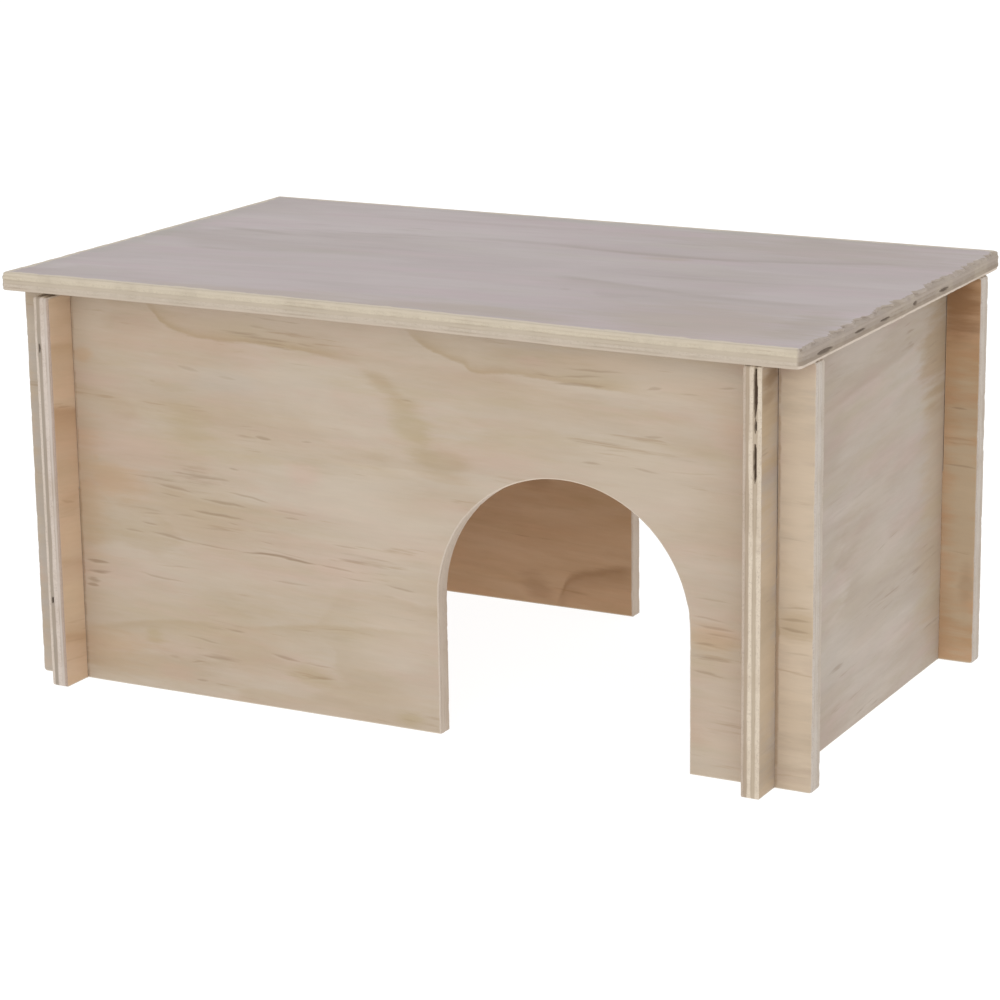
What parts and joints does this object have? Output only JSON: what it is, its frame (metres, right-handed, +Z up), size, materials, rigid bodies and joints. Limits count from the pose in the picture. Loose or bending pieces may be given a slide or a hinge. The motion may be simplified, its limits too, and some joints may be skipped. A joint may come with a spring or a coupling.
{
  "type": "hamster house",
  "caption": "Plywood small-pet house: wall boards crossed in halving slots, arched doorways front and back, and a loose lift-off flat roof.",
  "frame": {"origin": "on the ground in the middle of the house's outline", "axes": "+X runs along the front wall towards its doorway end, +Y from the front to the back, +Z up"},
  "size_m": [0.26, 0.159, 0.128],
  "materials": {
    "wall_plywood": "raw sanded pine plywood, layered edges",
    "roof_plywood": "raw sanded pine plywood with a greyish face, layered edges",
    "batten_pine": "planed solid pine"
  },
  "bodies": {
    "long_walls": {"front_panel": "wall_plywood", "back_panel": "wall_plywood"},
    "left_side_wall": {"left_side_panel": "wall_plywood"},
    "right_side_wall": {"right_side_panel": "wall_plywood"},
    "roof": {"roof_panel": "roof_plywood", "left_roof_batten": "batten_pine", "right_roof_batten": "batten_pine"}
  },
  "joints": [
    {"name": "left_side_lift", "type": "slide", "parent": "long_walls", "child": "left_side_wall", "axis": [0, 0, 1], "range_m": [0, 0.06125]},
    {"name": "right_side_lift", "type": "slide", "parent": "long_walls", "child": "right_side_wall", "axis": [0, 0, 1], "range_m": [0, 0.06125]},
    {"name": "roof_lift", "type": "slide", "parent": "left_side_wall", "child": "roof", "axis": [0, 0, 1], "range_m": [0, 0.08]}
  ],
  "couplings": [
    {"joint": "right_side_lift", "follows": "left_side_lift", "ratio": 1}
  ]
}
